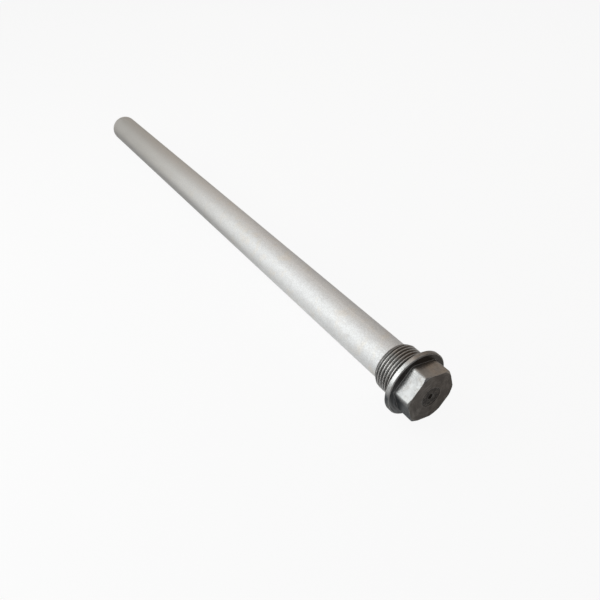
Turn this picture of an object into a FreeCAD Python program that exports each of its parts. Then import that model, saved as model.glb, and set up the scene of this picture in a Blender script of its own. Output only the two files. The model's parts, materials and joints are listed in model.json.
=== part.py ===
import FreeCAD, Part
import math
import os
from FreeCAD import Placement, Rotation, Vector

# A sacrificial anode for a water heater: a magnesium bar on a hexagonal screw plug.
# Each piece is turned about the Z axis, with the flange's seat at Z = 0 and the bar towards +Z.
# Then the whole part is laid on its side, on the flange's rim and the edge of the bar's tip.
# Lengths are in millimetres and angles in degrees.

# Hexagonal head
HEX_ACROSS_FLATS = 26.7
HEX_HEIGHT = 9.8
HEX_CORNER_RADIUS = 2.0
HEX_CHAMFER_DIAMETER = 27.8
HEX_CHAMFER_ANGLE = 30.0
HEX_TURN = -18.3
DIMPLE_DIAMETER = 11.6
DIMPLE_DEPTH = 0.4
DIMPLE_SIDE_ANGLE = 30.0
CENTRE_MOUTH_DIAMETER = 3.4
CENTRE_CONE_ANGLE = 60.0
CENTRE_PILOT_DIAMETER = 1.6
CENTRE_PILOT_LENGTH = 1.0

# Flange
FLANGE_DIAMETER = 36.0
FLANGE_THICKNESS = 3.0
FLANGE_CHAMFER = 0.5

# Pipe thread, G 3/4, right-handed
THREAD_MAJOR_DIAMETER = 26.441
THREAD_PITCH = 1.814
THREAD_DEPTH = 1.162
THREAD_ANGLE = 55.0
THREAD_CREST_WIDTH = 0.302
THREAD_START_ANGLE = -80.0
SHANK_LENGTH = 14.3
GASKET_LAND_LENGTH = 1.0
RELIEF_END = 3.4
RELIEF_CLEARANCE = 0.1
RELIEF_SIDE_ANGLE = 45.0
LEAD_IN_CLEARANCE = 0.25
LEAD_IN_ANGLE = 30.0

# Magnesium bar
BAR_DIAMETER = 22.0
BAR_END = 400.0
BAR_TIP_RADIUS = 2.0
BAR_INNER_CHAMFER = 0.5

# Steel core, pressed into a blind bore in the plug
CORE_DIAMETER = 6.0
CORE_BORE_DEPTH = 13.3
DRILL_POINT_ANGLE = 118.0

# Places that follow from the sizes above
AXIS = Vector(0, 0, 1)
ORIGIN = Vector(0, 0, 0)
HEAD_BASE = -FLANGE_THICKNESS
HEAD_END = HEAD_BASE - HEX_HEIGHT
DIMPLE_FLOOR = HEAD_END + DIMPLE_DEPTH
FLANGE_RADIUS = FLANGE_DIAMETER / 2
MAJOR_RADIUS = THREAD_MAJOR_DIAMETER / 2
ROOT_RADIUS = MAJOR_RADIUS - THREAD_DEPTH
RELIEF_RADIUS = ROOT_RADIUS - RELIEF_CLEARANCE
LEAD_IN_RADIUS = ROOT_RADIUS - LEAD_IN_CLEARANCE
BAR_RADIUS = BAR_DIAMETER / 2
CORE_RADIUS = CORE_DIAMETER / 2
CORE_BORE_FLOOR = SHANK_LENGTH - CORE_BORE_DEPTH
OUTSIDE_RADIUS = 2 * FLANGE_RADIUS

# How near two edges are to count as one when a surface is closed
SEAM_TOLERANCE = 1e-4


def slope(angle):
    """Rise for each millimetre along, at this angle."""
    return math.tan(math.radians(angle))


def turned(outline):
    """A solid of revolution about Z. The outline is a closed wire in the XZ plane."""
    return Part.Face(outline).revolve(ORIGIN, AXIS, 360)


def straight_outline(points):
    """A closed wire of straight lines through (radius, height) points."""
    corners = [Vector(radius, 0, height) for radius, height in points]
    return Part.makePolygon(corners + corners[:1])


def line(start, end):
    """A straight edge between two (radius, height) points."""
    return Part.makeLine(Vector(start[0], 0, start[1]), Vector(end[0], 0, end[1]))


def corner_round(centre, radius, first_angle):
    """A quarter circle in the XZ plane, turning anticlockwise from first_angle."""
    angles = [math.radians(first_angle + turn) for turn in (0, 45, 90)]
    points = [
        Vector(centre[0] + radius * math.cos(a), 0, centre[1] + radius * math.sin(a))
        for a in angles
    ]
    return Part.Arc(*points).toShape()


def around(radius, angle, height=0.0):
    """A point at this angle about Z."""
    turn = math.radians(angle)
    return Vector(radius * math.cos(turn), radius * math.sin(turn), height)


def hexagon_prism():
    """The drawn hexagonal bar: six flats joined by rounded corners."""
    round_centre = (HEX_ACROSS_FLATS / 2 - HEX_CORNER_RADIUS) / math.cos(math.radians(30))
    edges = []
    for corner in range(6):
        angle = HEX_TURN + 60 * corner
        centre = around(round_centre, angle, HEAD_END)
        start, middle, end = (centre + around(HEX_CORNER_RADIUS, angle + turn) for turn in (-30, 0, 30))
        next_centre = around(round_centre, angle + 60, HEAD_END)
        next_start = next_centre + around(HEX_CORNER_RADIUS, angle + 30)
        edges += [Part.Arc(start, middle, end).toShape(), Part.makeLine(end, next_start)]
    return Part.Face(Part.Wire(edges)).extrude(Vector(0, 0, HEX_HEIGHT))


def hexagonal_head():
    """The hexagon with its corners chamfered at the end face."""
    end_radius = HEX_CHAMFER_DIAMETER / 2
    chamfer_height = (OUTSIDE_RADIUS - end_radius) * slope(HEX_CHAMFER_ANGLE)
    envelope = straight_outline([
        (0, HEAD_END),
        (end_radius, HEAD_END),
        (OUTSIDE_RADIUS, HEAD_END + chamfer_height),
        (OUTSIDE_RADIUS, HEAD_BASE + chamfer_height),
        (0, HEAD_BASE + chamfer_height),
    ])
    return hexagon_prism().common(turned(envelope))


def flange():
    """The round flange, with both edges of its rim chamfered."""
    chamfer = FLANGE_CHAMFER
    face_radius = FLANGE_RADIUS - chamfer
    return turned(straight_outline([
        (0, HEAD_BASE),
        (face_radius, HEAD_BASE),
        (FLANGE_RADIUS, HEAD_BASE + chamfer),
        (FLANGE_RADIUS, -chamfer),
        (face_radius, 0),
        (0, 0),
    ]))


def gasket_land_and_relief():
    """The plain land that centres a gasket under the flange, and the thread's relief groove."""
    side = (MAJOR_RADIUS - RELIEF_RADIUS) / slope(RELIEF_SIDE_ANGLE)
    return turned(straight_outline([
        (0, 0),
        (MAJOR_RADIUS, 0),
        (MAJOR_RADIUS, GASKET_LAND_LENGTH),
        (RELIEF_RADIUS, GASKET_LAND_LENGTH + side),
        (RELIEF_RADIUS, RELIEF_END),
        (0, RELIEF_END),
    ]))


def helix_edge(radius, height):
    """One turn of a right-handed helix that starts at this radius and height."""
    helix = Part.makeHelix(THREAD_PITCH, THREAD_PITCH, radius)
    helix.translate(Vector(0, 0, height))
    return helix.Edges[0]


def thread_turn():
    """The four faces of one turn of thread: crest, falling flank, root and rising flank."""
    flank_width = THREAD_DEPTH * slope(THREAD_ANGLE / 2)
    tooth_profile = [
        (MAJOR_RADIUS, 0),
        (MAJOR_RADIUS, THREAD_CREST_WIDTH),
        (ROOT_RADIUS, THREAD_CREST_WIDTH + flank_width),
        (ROOT_RADIUS, THREAD_PITCH - flank_width),
        (MAJOR_RADIUS, THREAD_PITCH),
    ]
    edges = [helix_edge(radius, height) for radius, height in tooth_profile]
    return [Part.makeRuledSurface(lower, upper) for lower, upper in zip(edges, edges[1:])]


def end_face(faces, height):
    """The flat face that closes the thread at this height, bounded by the edges lying there."""
    rim = [
        edge
        for face in faces
        for edge in face.Edges
        if abs(edge.BoundBox.ZMin - height) < SEAM_TOLERANCE
        and abs(edge.BoundBox.ZMax - height) < SEAM_TOLERANCE
    ]
    return Part.Face(Part.Wire(Part.__sortEdges__(rim)))


def threaded_bar(low, high):
    """A threaded solid between two heights: turns of thread trimmed by two planes and closed."""
    slab = Part.makeBox(
        2 * OUTSIDE_RADIUS,
        2 * OUTSIDE_RADIUS,
        high - low,
        Vector(-OUTSIDE_RADIUS, -OUTSIDE_RADIUS, low),
    )
    first_turn = low - 2 * THREAD_PITCH
    turn_count = math.ceil((high - first_turn) / THREAD_PITCH)
    faces = []
    for turn in range(turn_count):
        for face in thread_turn():
            face.translate(Vector(0, 0, first_turn + turn * THREAD_PITCH))
            faces += face.common(slab).Faces
    shell = Part.makeCompound(faces + [end_face(faces, low), end_face(faces, high)])
    shell.sewShape(SEAM_TOLERANCE)
    bar = Part.Solid(shell.Shells[0])
    bar.rotate(ORIGIN, AXIS, THREAD_START_ANGLE)
    return bar


def pipe_thread():
    """The thread from the relief groove to the plug's inner end, with a conical lead-in."""
    lead_in = (OUTSIDE_RADIUS - LEAD_IN_RADIUS) / slope(LEAD_IN_ANGLE)
    envelope = straight_outline([
        (0, -lead_in),
        (OUTSIDE_RADIUS, -lead_in),
        (OUTSIDE_RADIUS, SHANK_LENGTH - lead_in),
        (LEAD_IN_RADIUS, SHANK_LENGTH),
        (0, SHANK_LENGTH),
    ])
    return threaded_bar(RELIEF_END, SHANK_LENGTH).common(turned(envelope))


def head_dimple():
    """What is turned out of the head's end face: a shallow dimple and a lathe centre hole."""
    radius = DIMPLE_DIAMETER / 2
    mouth = CENTRE_MOUTH_DIAMETER / 2
    pilot = CENTRE_PILOT_DIAMETER / 2
    cone_end = DIMPLE_FLOOR + (mouth - pilot) / slope(CENTRE_CONE_ANGLE / 2)
    pilot_end = cone_end + CENTRE_PILOT_LENGTH
    return turned(straight_outline([
        (0, HEAD_END),
        (radius, HEAD_END),
        (radius - DIMPLE_DEPTH / slope(DIMPLE_SIDE_ANGLE), DIMPLE_FLOOR),
        (mouth, DIMPLE_FLOOR),
        (pilot, cone_end),
        (pilot, pilot_end),
        (0, pilot_end + pilot / slope(DRILL_POINT_ANGLE / 2)),
    ]))


def core_bore():
    """The blind bore that the core is pressed into, with the drill's point below its floor."""
    return turned(straight_outline([
        (0, SHANK_LENGTH),
        (CORE_RADIUS, SHANK_LENGTH),
        (CORE_RADIUS, CORE_BORE_FLOOR),
        (0, CORE_BORE_FLOOR - CORE_RADIUS / slope(DRILL_POINT_ANGLE / 2)),
    ]))


def hex_plug():
    """The steel plug: head, flange, land, relief and thread in one, bored for the core."""
    blank = flange().fuse([hexagonal_head(), gasket_land_and_relief(), pipe_thread()])
    return blank.cut([head_dimple(), core_bore()])


def anode_bar():
    """The magnesium bar from the plug's inner end to its rounded tip, bored for the core."""
    tip = BAR_TIP_RADIUS
    chamfer = BAR_INNER_CHAMFER
    outline = Part.Wire([
        line((CORE_RADIUS, SHANK_LENGTH), (BAR_RADIUS - chamfer, SHANK_LENGTH)),
        line((BAR_RADIUS - chamfer, SHANK_LENGTH), (BAR_RADIUS, SHANK_LENGTH + chamfer)),
        line((BAR_RADIUS, SHANK_LENGTH + chamfer), (BAR_RADIUS, BAR_END - tip)),
        corner_round((BAR_RADIUS - tip, BAR_END - tip), tip, 0),
        line((BAR_RADIUS - tip, BAR_END), (CORE_RADIUS, BAR_END)),
        line((CORE_RADIUS, BAR_END), (CORE_RADIUS, SHANK_LENGTH)),
    ])
    return turned(outline)


def core_rod():
    """The steel core from the floor of its bore in the plug to the bar's tip."""
    length = BAR_END - CORE_BORE_FLOOR
    return Part.makeCylinder(CORE_RADIUS, length, Vector(0, 0, CORE_BORE_FLOOR))


def resting_tilt():
    """How far the axis drops towards the tip when flange rim and tip edge share one floor.

    The floor passes through the rim's corner and touches the round of the tip's edge, so the
    centre of that round lies its own radius above the floor.
    """
    along = (BAR_END - BAR_TIP_RADIUS) + FLANGE_CHAMFER
    across = FLANGE_RADIUS - (BAR_RADIUS - BAR_TIP_RADIUS)
    lean = math.acos(BAR_TIP_RADIUS / math.hypot(along, across)) - math.atan2(along, across)
    return math.degrees(lean)


def lay_down(pieces):
    """Turns the axis to -X, tip lowest by the resting tilt, and sets the part on Z = 0, centred."""
    turn = Placement(ORIGIN, Rotation(Vector(0, 1, 0), -90 - resting_tilt()))
    for piece in pieces:
        piece.transformShape(turn.toMatrix())
    box = Part.makeCompound(pieces).optimalBoundingBox(False, False)
    seat_centre = Vector(-box.Center.x, 0, -box.ZMin)
    for piece in pieces:
        piece.translate(seat_centre)
    print("resting tilt", round(resting_tilt(), 4))
    print("seat centre", [round(place, 4) for place in seat_centre])


def main():
    os.makedirs("parts", exist_ok=True)
    parts = {"hex_plug": hex_plug(), "anode_bar": anode_bar(), "core_rod": core_rod()}
    solids = {name: shape.Solids[0] for name, shape in parts.items()}
    lay_down(list(solids.values()))
    for name, solid in solids.items():
        solid.exportStep(f"parts/{name}.step")
        print(name, "valid" if solid.isValid() else "not valid", round(solid.Volume, 1))


main()
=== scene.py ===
import json
import math
from types import SimpleNamespace

import bpy
from mathutils import Matrix, Vector

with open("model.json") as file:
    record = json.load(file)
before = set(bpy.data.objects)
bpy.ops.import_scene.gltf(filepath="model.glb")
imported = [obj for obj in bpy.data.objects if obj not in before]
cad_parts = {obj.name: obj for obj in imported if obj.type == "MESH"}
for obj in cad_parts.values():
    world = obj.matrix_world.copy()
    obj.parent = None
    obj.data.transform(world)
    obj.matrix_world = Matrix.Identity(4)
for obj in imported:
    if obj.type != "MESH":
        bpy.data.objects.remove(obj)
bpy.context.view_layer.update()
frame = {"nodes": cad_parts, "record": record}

# A water heater anode lying on its side: a magnesium bar, its steel core and a hexagonal screw plug.
# Lengths are in metres and angles in degrees, except where a line says otherwise. Colours are linear.
MM = 0.001

# Camera
CAMERA_PLACE = (0.3282, -0.1541, 0.2238)
CAMERA_AZIMUTH = 56.63
CAMERA_ELEVATION = 38.31
CAMERA_LENS = 34.92
SENSOR_WIDTH = 36.0

# Floor and surroundings
FLOOR_SIZE = 6.0
FLOOR_PAINT = (0.85, 0.85, 0.85, 1)
WHITE = (1, 1, 1, 1)
WHITE_FLOOR_SHARE = 0.92
WHITE_BACKDROP_SHARE = 0.93
WHITE_MIRRORED_SHARE = 0.17
AMBIENT_LEVEL = 0.12

# Lamp panels: name, place, target, width and height, radiance, colour
NEUTRAL_LIGHT = (1.0, 1.0, 1.0)
WARM_LIGHT = (1.0, 0.82, 0.66)
COOL_LIGHT = (0.94, 0.99, 1.0)
LAMPS = (
    ("left_high", (-0.35, -0.45, 0.66), (0.10, 0, 0.02), (0.55, 0.55), 1.40, COOL_LIGHT),
    ("left_low", (0.10, -0.35, 0.14), (0.12, 0, 0.02), (0.44, 0.26), 1.25, COOL_LIGHT),
    ("left_far", (-0.10, -0.38, 0.28), (0.05, 0, 0.02), (0.40, 0.34), 1.10, NEUTRAL_LIGHT),
    ("top", (0.05, -0.05, 0.42), (0.10, 0, 0.02), (0.30, 0.30), 0.30, NEUTRAL_LIGHT),
    ("back_high", (-0.15, 0.10, 0.40), (0.05, 0, 0.02), (0.30, 0.30), 0.52, WARM_LIGHT),
    ("right_high", (0.0, 0.60, 0.50), (0.10, 0, 0.02), (0.50, 0.50), 0.32, WARM_LIGHT),
    ("right_far", (-0.50, 0.35, 0.30), (-0.05, 0, 0.02), (0.45, 0.45), 0.22, WARM_LIGHT),
)

# Places on the plug, in millimetres from the seat, where the tip's side is positive
HEAD_END = -12.8
FLANGE_FRONT = -3.0
LAND_END = 1.0
FLANGE_RADIUS = 18.0
MAJOR_RADIUS = 13.22
ROOT_RADIUS = 12.06
DIMPLE_RADIUS = 5.8
CENTRE_MOUTH_RADIUS = 1.7
SOFT_EDGE = 0.05
FACE_DEPTH = 0.06

# Sizes of the surface patterns, in millimetres
PATCH_SIZE = 20.0
TINT_SIZE = 9.0
BLOTCH_SIZE = 3.6
PORE_SIZE = 2.0
BLAST_SIZE = 0.77
CLOUD_SIZE = 6.2
STAIN_SIZE = 2.9
SPECK_SIZE = 1.5
GRAIN_SIZE = 0.45
RING_WIDTH = 0.38
WIRE_SCALE_SIZE = 1.1

# Depths of the surface patterns
PORE_DEPTH = 0.12 * MM
BLAST_DEPTH = 0.09 * MM
SCORE_DEPTH = 0.05 * MM
GRAIN_DEPTH = 0.03 * MM
WIRE_SCALE_DEPTH = 0.05 * MM
EDGE_ROUNDING = 0.35 * MM

# Roughness
MAGNESIUM_ROUGHNESS = (0.72, 0.62)
STEEL_ROUGHNESS = (0.28, 0.40)
CREST_POLISH = 0.06
WIRE_ROUGHNESS = 0.42

# Magnesium
MAGNESIUM_GREY = (0.85, 0.855, 0.86, 1)
MAGNESIUM_PALE = (0.93, 0.925, 0.915, 1)
MAGNESIUM_WARM = (0.90, 0.855, 0.79, 1)
MAGNESIUM_DULL = (0.76, 0.755, 0.75, 1)
# Painted shade: the bar duller and warmer towards its tip, standing in for the light falling off.
MAGNESIUM_TIP_SHADE = (0.69, 0.665, 0.625, 1)
# Painted shadow: the bar's underside, darker towards the tip where it nears the floor.
MAGNESIUM_UNDERSIDE_SHADE = (0.34, 0.335, 0.33, 1)
MAGNESIUM_GRAIN = (0.58, 0.565, 0.545, 1)

# Steel
STEEL_DARK = (0.28, 0.28, 0.277, 1)
STEEL_LIGHT = (0.40, 0.40, 0.395, 1)
STEEL_TURNED = (0.53, 0.53, 0.52, 1)
# Painted highlight along the thread crests.
STEEL_CREST_HIGHLIGHT = (0.68, 0.665, 0.64, 1)
STEEL_WORN = (0.62, 0.605, 0.58, 1)
STEEL_SCRATCH = (0.20, 0.19, 0.18, 1)
# Painted reflection: brown for warm surroundings mirrored on the upper side, darker behind the flange's
# front.
BROWN_REFLECTION_HEAD = (0.43, 0.37, 0.305, 1)
BROWN_REFLECTION_BEHIND_FLANGE = (0.26, 0.215, 0.17, 1)
# Painted shade with a bluish painted reflection, on the lower side of the hex and rim.
BLUE_PAINTED_SHADE = (0.045, 0.055, 0.065, 1)
# Painted light on the flange's front face: a grey painted reflection on the camera's lower left,
# painted shade elsewhere.
FRONT_PAINTED_REFLECTION = (0.32, 0.325, 0.33, 1)
FRONT_PAINTED_SHADE = (0.055, 0.048, 0.043, 1)
RING_DARK = (0.075, 0.066, 0.06, 1)
# The head's end: painted shade for its dark, a pale tone for smudges and a painted sheen on the
# camera's left.
END_SMUDGE_AND_SHEEN = (0.24, 0.215, 0.19, 1)
END_PAINTED_SHADE = (0.083, 0.066, 0.052, 1)
STAIN = (0.19, 0.17, 0.15, 1)
# Grime in the thread roots, and painted shade on the land beside the flange.
GRIME_AND_SHADE = (0.11, 0.098, 0.088, 1)
# Painted shade in specks in the end's dimple, for its shadowed pits.
DIMPLE_SPECKLED_SHADE = (0.028, 0.024, 0.021, 1)
# Painted shade in the mouth of the centre hole.
HOLE_PAINTED_SHADE = (0.015, 0.013, 0.012, 1)
WIRE_DARK = (0.16, 0.15, 0.14, 1)
WIRE_LIGHT = (0.26, 0.25, 0.24, 1)


def axis_frame():
    """The seat's centre and the turn that takes +Z to the bar's direction and +X upwards."""
    mounts = {mount["name"]: mount for mount in frame["record"]["mounts"]}
    along = Vector(mounts["gasket_land"]["axis"]).normalized()
    on_axis = Vector(mounts["gasket_land"]["pos_m"])
    on_seat = Vector(mounts["seat"]["pos_m"])
    centre = on_axis - along * (on_axis - on_seat).dot(along)
    across = Vector((0, 1, 0))
    up = across.cross(along)
    return centre, Matrix((up, across, along)).transposed()


SEAT_CENTRE, AXIS_TURN = axis_frame()


class Shader:
    """A material's node tree with short calls for the nodes used here."""

    def __init__(self, name):
        self.material = bpy.data.materials.new(name)
        self.material.use_nodes = True
        self.tree = self.material.node_tree
        self.surface = self.tree.nodes["Principled BSDF"]

    def feed(self, socket, value):
        """Links an output to this socket, or sets a plain value on it."""
        if isinstance(value, bpy.types.NodeSocket):
            self.tree.links.new(value, socket)
        else:
            socket.default_value = value

    def node(self, kind, inputs=(), **settings):
        """Adds a node. Inputs are sockets with their values or outputs, settings its properties."""
        made = self.tree.nodes.new(kind)
        for name, value in settings.items():
            setattr(made, name, value)
        for socket, value in dict(inputs).items():
            self.feed(made.inputs[socket], value)
        return made

    def math(self, operation, first, second=0.0, clamp=False):
        values = {0: first, 1: second}
        return self.node("ShaderNodeMath", values, operation=operation, use_clamp=clamp).outputs[0]

    def add(self, first, second):
        return self.math("ADD", first, second)

    def times(self, first, second):
        return self.math("MULTIPLY", first, second)

    def largest(self, first, second):
        return self.math("MAXIMUM", first, second)

    def ramp(self, value, low, high, start=0.0, end=1.0):
        """Maps low..high smoothly to start..end, held at both ends."""
        inputs = {"Value": value, "From Min": low, "From Max": high, "To Min": start, "To Max": end}
        return self.node("ShaderNodeMapRange", inputs, interpolation_type="SMOOTHSTEP").outputs[0]

    def inverse(self, value):
        return self.math("SUBTRACT", 1.0, value)

    def mix(self, share, first, second):
        """A colour between two colours."""
        made = self.node("ShaderNodeMix", data_type="RGBA")
        for place, value in ((0, share), (6, first), (7, second)):
            self.feed(made.inputs[place], value)
        return made.outputs[2]

    def coats(self, color, layers):
        """Lays colours over a first one. Each layer is its share and its colour, the last on top."""
        for share, coat in layers:
            color = self.mix(share, color, coat)
        return color

    def combine(self, x, y, z):
        return self.node("ShaderNodeCombineXYZ", {0: x, 1: y, 2: z}).outputs[0]

    def noise(self, vector, size, detail=3.0, roughness=0.6):
        """Cloudy noise about a half, with features of this size in the vector's unit."""
        inputs = {"Vector": vector, "Scale": 1 / size, "Detail": detail, "Roughness": roughness}
        return self.node("ShaderNodeTexNoise", inputs).outputs[0]

    def bump(self, height, distance, strength, below=None):
        inputs = {"Height": height, "Distance": distance, "Strength": strength}
        if below is not None:
            inputs["Normal"] = below
        return self.node("ShaderNodeBump", inputs).outputs[0]

    def finish(self, color, roughness, normal):
        """A metal surface with this look."""
        inputs = {"Base Color": color, "Metallic": 1.0, "Roughness": roughness, "Normal": normal}
        for name, value in inputs.items():
            self.feed(self.surface.inputs[name], value)
        return self.material


def axis_place(shader):
    """A point's place about the part's axis: vector, height from the seat and radius in
    millimetres, and the angle about the axis in radians, 0 on top and -pi/2 on the camera's left."""
    turned = shader.node("ShaderNodeMapping", {
        "Vector": shader.node("ShaderNodeTexCoord").outputs["Object"],
        "Location": SEAT_CENTRE,
        "Rotation": AXIS_TURN.to_euler(),
        "Scale": (MM, MM, MM),
    }, vector_type="TEXTURE")
    vector = turned.outputs[0]
    x, y, height = shader.node("ShaderNodeSeparateXYZ", {0: vector}).outputs
    radius = shader.math("SQRT", shader.add(shader.times(x, x), shader.times(y, y)))
    angle = shader.math("ARCTAN2", y, x)
    return SimpleNamespace(vector=vector, height=height, radius=radius, angle=angle)


def magnesium():
    """Cast magnesium with a fine blasted grain. Painted shade makes it duller and warmer towards the
    tip and darker on its underside.
    """
    shader = Shader("magnesium_blasted")
    at = axis_place(shader)
    patches = shader.noise(at.vector, PATCH_SIZE)
    tints = shader.noise(at.vector, TINT_SIZE)
    blotches = shader.noise(at.vector, BLOTCH_SIZE, 4.0)
    pores = shader.noise(at.vector, PORE_SIZE)
    grain = shader.noise(at.vector, BLAST_SIZE, 3.0, 0.7)
    # Painted shade on the bar's underside, by its angle about the axis.
    shaded_lower_side = shader.ramp(at.angle, -1.05, -1.75, 0.0, 0.75)
    color = shader.coats(shader.mix(patches, MAGNESIUM_GREY, MAGNESIUM_PALE), (
        (shader.ramp(tints, 0.5, 0.7, 0.0, 0.6), MAGNESIUM_WARM),
        (shader.ramp(blotches, 0.5, 0.75, 0.0, 0.5), MAGNESIUM_DULL),
        # Painted shade towards the tip.
        (shader.ramp(at.height, 110.0, 340.0, 0.0, 0.95), MAGNESIUM_TIP_SHADE),
        # Painted shadow along the underside, growing towards the tip.
        (shader.times(shader.ramp(at.height, 60.0, 240.0), shaded_lower_side), MAGNESIUM_UNDERSIDE_SHADE),
        (shader.ramp(grain, 0.38, 0.62, 0.30, 0.0), MAGNESIUM_GRAIN),
    ))
    dents = shader.bump(pores, PORE_DEPTH, 0.35)
    normal = shader.bump(grain, BLAST_DEPTH, 0.5, dents)
    return shader.finish(color, shader.ramp(grain, 0.3, 0.7, *MAGNESIUM_ROUGHNESS), normal)


def flat_face(shader, height, level):
    """One on the flat face at this height and none beside it."""
    above = shader.ramp(height, level + FACE_DEPTH, level)
    below = shader.ramp(height, level - FACE_DEPTH, level)
    return shader.times(above, below)


def plug_regions(shader, at):
    """How far a point belongs to each region of the plug, from none to one."""
    within_dimple = shader.ramp(at.radius, DIMPLE_RADIUS + 0.7, DIMPLE_RADIUS + 0.2)
    end_reach = shader.add(shader.times(within_dimple, 4.0), HEAD_END + 0.1)
    end_face = shader.ramp(at.height, end_reach, HEAD_END + SOFT_EDGE)
    before_flange = shader.ramp(at.height, FLANGE_FRONT + SOFT_EDGE, FLANGE_FRONT - SOFT_EDGE)
    on_shank = shader.ramp(at.height, 0.5, LAND_END)
    crest = shader.ramp(at.radius, MAJOR_RADIUS - 0.35, MAJOR_RADIUS - 0.1)
    root = shader.ramp(at.radius, ROOT_RADIUS + 0.6, ROOT_RADIUS + 0.1)
    before_thread = shader.ramp(at.height, LAND_END + 0.6, LAND_END - 0.4)
    behind_flange = shader.ramp(at.height, -FACE_DEPTH, 0.0)
    dimple = shader.ramp(at.radius, DIMPLE_RADIUS + 0.3, DIMPLE_RADIUS - 0.6)
    hole = shader.ramp(at.radius, CENTRE_MOUTH_RADIUS + 0.2, CENTRE_MOUTH_RADIUS - 0.1)
    return SimpleNamespace(
        end_face=end_face,
        front_face=flat_face(shader, at.height, FLANGE_FRONT),
        before_flange=before_flange,
        head_sides=shader.times(before_flange, shader.inverse(end_face)),
        rim=shader.ramp(at.radius, FLANGE_RADIUS - 0.4, FLANGE_RADIUS - 0.1),
        crest=shader.times(on_shank, crest),
        root=shader.times(on_shank, root),
        land=shader.times(before_thread, behind_flange),
        dimple=shader.times(dimple, end_face),
        hole=shader.times(hole, end_face),
    )


def plug_marks(shader, at):
    """The plug's patterns: clouds, stains, specks, grain, drawn lines and turned rings."""
    drawn_place = shader.combine(shader.times(at.angle, 30.0), at.radius, shader.times(at.height, 0.12))
    ring_place = shader.combine(shader.times(at.angle, 0.5), 0.0, at.radius)
    return SimpleNamespace(
        cloud=shader.noise(at.vector, CLOUD_SIZE, 4.0),
        stains=shader.noise(at.vector, STAIN_SIZE, 5.0, 0.7),
        specks=shader.noise(at.vector, SPECK_SIZE),
        grain=shader.noise(at.vector, GRAIN_SIZE),
        drawn=shader.noise(drawn_place, 1.0),
        rings=shader.noise(ring_place, RING_WIDTH),
    )


def edge_wear(shader, rounded, stains):
    """Patchy wear on the edges, where the rounded normal leaves the true one."""
    true_normal = shader.node("ShaderNodeNewGeometry").outputs["Normal"]
    normals = {0: rounded, 1: true_normal}
    likeness = shader.node("ShaderNodeVectorMath", normals, operation="DOT_PRODUCT").outputs["Value"]
    edges = shader.ramp(likeness, 0.995, 0.93, 0.0, 0.8)
    return shader.times(edges, shader.ramp(stains, 0.4, 0.6, 0.4, 1.0))


def brown_reflection_share(shader, at, cloud):
    """The brown painted reflection of warm surroundings on the upper side, cloudy and thinner towards
    the camera's left.
    """
    upper_side_share = shader.ramp(at.angle, -0.5, 0.3, 0.0, 0.85)
    return shader.times(upper_side_share, shader.ramp(cloud, 0.3, 0.6, 0.45, 1.0))


def end_shade_and_sheen(shader, at, cloud):
    """The head's end: dark brown from painted shade, paler in smudges and with a painted sheen on the
    camera's left.
    """
    smudges = shader.ramp(cloud, 0.42, 0.6, 0.0, 0.55)
    # Painted shade, less on the camera's left, where a painted sheen lightens it, and less in the
    # smudges.
    shade_less_smudges = shader.math("SUBTRACT", shader.ramp(at.angle, -1.2, 1.2, 0.6, 1.1), smudges, clamp=True)
    return shader.mix(shade_less_smudges, END_SMUDGE_AND_SHEEN, END_PAINTED_SHADE)


def plug_color(shader, at, on, marks, wear):
    """The plug's colour, from the bare steel up to the worn edges, with painted shade, painted
    reflections and a painted highlight among its coats.
    """
    steel = shader.mix(shader.ramp(marks.cloud, 0.3, 0.7), STEEL_DARK, STEEL_LIGHT)
    # Painted brown reflection, darker on the thread and rim.
    brown_reflection = shader.mix(on.before_flange, BROWN_REFLECTION_BEHIND_FLANGE, BROWN_REFLECTION_HEAD)
    # Painted shade on the lower side, by the angle about the axis.
    shaded_lower_side = shader.ramp(at.angle, -1.3, -1.6)
    blue_shaded_parts = shader.largest(on.head_sides, shader.times(on.rim, 0.95))
    # Painted reflection and painted shade on the flange's front face, by angle.
    painted_front = shader.mix(shader.ramp(at.angle, -1.7, -0.7), FRONT_PAINTED_REFLECTION, FRONT_PAINTED_SHADE)
    faced = shader.largest(on.end_face, on.front_face)
    return shader.coats(steel, (
        (on.rim, STEEL_TURNED),
        # Painted brown reflection on the upper side.
        (brown_reflection_share(shader, at, marks.cloud), brown_reflection),
        # Painted shade, bluish, on the lower hex sides and rim.
        (shader.times(shaded_lower_side, blue_shaded_parts), BLUE_PAINTED_SHADE),
        (shader.ramp(marks.stains, 0.48, 0.66, 0.0, 0.45), STAIN),
        (shader.ramp(marks.drawn, 0.5, 0.7, 0.0, 0.25), STEEL_SCRATCH),
        # The flange's front face: painted reflection and painted shade.
        (shader.times(on.front_face, 0.9), painted_front),
        # The head's end: painted shade and a painted sheen, with smudges.
        (shader.times(on.end_face, 0.9), end_shade_and_sheen(shader, at, marks.cloud)),
        (shader.times(faced, shader.ramp(marks.rings, 0.42, 0.6, 0.0, 0.6)), RING_DARK),
        # Painted shade on the land in the corner beside the flange.
        (shader.times(on.land, 0.85), GRIME_AND_SHADE),
        (shader.times(on.root, 0.75), GRIME_AND_SHADE),
        # Painted highlight on the thread crests.
        (shader.times(on.crest, 0.8), STEEL_CREST_HIGHLIGHT),
        # Painted shade in specks in the dimple.
        (shader.times(on.dimple, shader.ramp(marks.specks, 0.42, 0.58, 0.35, 0.9)), DIMPLE_SPECKLED_SHADE),
        # Painted shade in the centre hole's mouth.
        (shader.times(on.hole, 0.8), HOLE_PAINTED_SHADE),
        (wear, STEEL_WORN),
    ))


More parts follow.
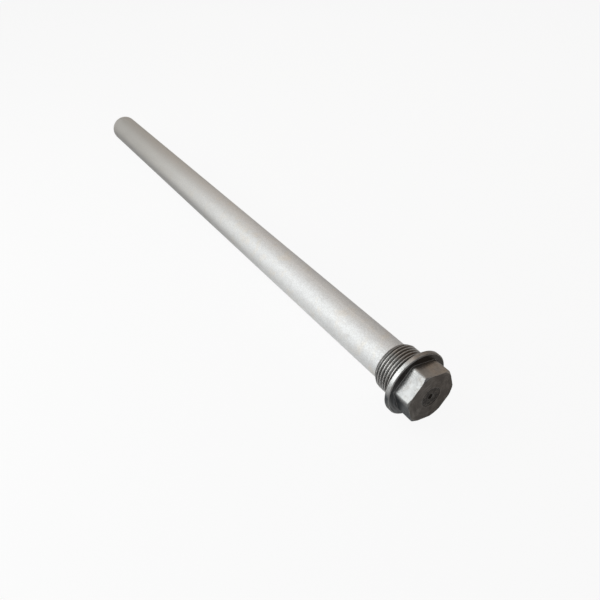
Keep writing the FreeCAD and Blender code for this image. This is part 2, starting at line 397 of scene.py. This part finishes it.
def plug_steel():
    """Dark turned and milled steel: a painted brown reflection on top, painted shade in the dimple and
    on the lower side, and bright worn edges.
    """
    shader = Shader("plug_steel_dark")
    at = axis_place(shader)
    on = plug_regions(shader, at)
    marks = plug_marks(shader, at)
    rounded = shader.node("ShaderNodeBevel", {"Radius": EDGE_ROUNDING}, samples=4).outputs[0]
    color = plug_color(shader, at, on, marks, edge_wear(shader, rounded, marks.stains))
    polish = shader.times(on.crest, CREST_POLISH)
    roughness = shader.math("SUBTRACT", shader.ramp(marks.grain, 0.3, 0.7, *STEEL_ROUGHNESS), polish)
    faced = shader.largest(on.end_face, on.front_face)
    scored = shader.bump(shader.mix(faced, marks.drawn, marks.rings), SCORE_DEPTH, 0.5, rounded)
    normal = shader.bump(marks.grain, GRAIN_DEPTH, 0.4, scored)
    return shader.finish(color, roughness, normal)


def core_steel():
    """Plain drawn steel wire, as it shows at the bar's tip."""
    shader = Shader("core_steel_drawn")
    scale = shader.noise(axis_place(shader).vector, WIRE_SCALE_SIZE)
    color = shader.mix(scale, WIRE_DARK, WIRE_LIGHT)
    return shader.finish(color, WIRE_ROUGHNESS, shader.bump(scale, WIRE_SCALE_DEPTH, 0.5))


def dress(node, material):
    """Gives a CAD node its finish."""
    slots = frame["nodes"][node].data.materials
    slots.clear()
    slots.append(material)


def white_share(tree, seen_share):
    """How much of the white background a ray meets. Seen straight it is this share, in mirrors less."""
    path = tree.nodes.new("ShaderNodeLightPath")
    mirrored = tree.nodes.new("ShaderNodeMath")
    mirrored.operation = "MAXIMUM"
    tree.links.new(path.outputs["Is Glossy Ray"], mirrored.inputs[0])
    tree.links.new(path.outputs["Is Transmission Ray"], mirrored.inputs[1])
    in_mirrors = tree.nodes.new("ShaderNodeMath")
    in_mirrors.operation = "MULTIPLY"
    in_mirrors.inputs[1].default_value = WHITE_MIRRORED_SHARE
    tree.links.new(mirrored.outputs[0], in_mirrors.inputs[0])
    share = tree.nodes.new("ShaderNodeMath")
    share.operation = "MULTIPLY_ADD"
    share.inputs[1].default_value = seen_share
    tree.links.new(path.outputs["Is Camera Ray"], share.inputs[0])
    tree.links.new(in_mirrors.outputs[0], share.inputs[2])
    return share.outputs[0]


def floor_paint():
    """Pale paint that looks nearly white and still takes the object's soft shadow."""
    material = bpy.data.materials.new("floor_pale")
    material.use_nodes = True
    tree = material.node_tree
    tree.nodes.clear()
    paint = tree.nodes.new("ShaderNodeBsdfDiffuse")
    paint.inputs["Color"].default_value = FLOOR_PAINT
    white = tree.nodes.new("ShaderNodeEmission")
    white.inputs["Color"].default_value = WHITE
    white.inputs["Strength"].default_value = 1.0
    mixed = tree.nodes.new("ShaderNodeMixShader")
    output = tree.nodes.new("ShaderNodeOutputMaterial")
    tree.links.new(white_share(tree, WHITE_FLOOR_SHARE), mixed.inputs[0])
    tree.links.new(paint.outputs[0], mixed.inputs[1])
    tree.links.new(white.outputs[0], mixed.inputs[2])
    tree.links.new(mixed.outputs[0], output.inputs["Surface"])
    return material


def floor():
    """A large plain floor."""
    half = FLOOR_SIZE / 2
    corners = [(-half, -half, 0), (half, -half, 0), (half, half, 0), (-half, half, 0)]
    mesh = bpy.data.meshes.new("floor")
    mesh.from_pydata(corners, [], [(0, 1, 2, 3)])
    mesh.materials.append(floor_paint())
    plane = bpy.data.objects.new("floor", mesh)
    bpy.context.scene.collection.objects.link(plane)


def surroundings():
    """Nearly white to the camera, dimmer in mirrors, and an even dim light on everything else."""
    world = bpy.data.worlds.new("studio")
    world.use_nodes = True
    tree = world.node_tree
    strength = tree.nodes.new("ShaderNodeMapRange")
    strength.inputs["To Min"].default_value = AMBIENT_LEVEL
    strength.inputs["To Max"].default_value = 1.0
    tree.links.new(white_share(tree, WHITE_BACKDROP_SHARE), strength.inputs["Value"])
    background = tree.nodes["Background"]
    background.inputs["Color"].default_value = WHITE
    tree.links.new(strength.outputs[0], background.inputs["Strength"])
    bpy.context.scene.world = world


def softbox(name, place, target, size, radiance, color):
    """A lamp panel that faces its target and isn't seen itself. Radiance is its look in a mirror."""
    lamp = bpy.data.lights.new(name, "AREA")
    lamp.shape = "RECTANGLE"
    lamp.size, lamp.size_y = size
    lamp.color = color
    lamp.energy = radiance * math.pi * size[0] * size[1]
    holder = bpy.data.objects.new(name, lamp)
    holder.location = place
    holder.rotation_mode = "QUATERNION"
    holder.rotation_quaternion = (Vector(target) - Vector(place)).to_track_quat("-Z", "Y")
    holder.visible_camera = False
    bpy.context.scene.collection.objects.link(holder)


def camera():
    """The view from the head's side, looking down at the part."""
    lens = bpy.data.cameras.new("camera")
    lens.sensor_width = SENSOR_WIDTH
    lens.lens = CAMERA_LENS
    lens.clip_start = 0.01
    holder = bpy.data.objects.new("camera", lens)
    holder.location = CAMERA_PLACE
    holder.rotation_euler = (math.radians(90 - CAMERA_ELEVATION), 0, math.radians(CAMERA_AZIMUTH))
    bpy.context.scene.collection.objects.link(holder)
    bpy.context.scene.camera = holder


dress("anode_bar", magnesium())
dress("hex_plug", plug_steel())
dress("core_rod", core_steel())
floor()
surroundings()
for lamp in LAMPS:
    softbox(*lamp)
camera()
bpy.context.scene.view_settings.view_transform = "Standard"
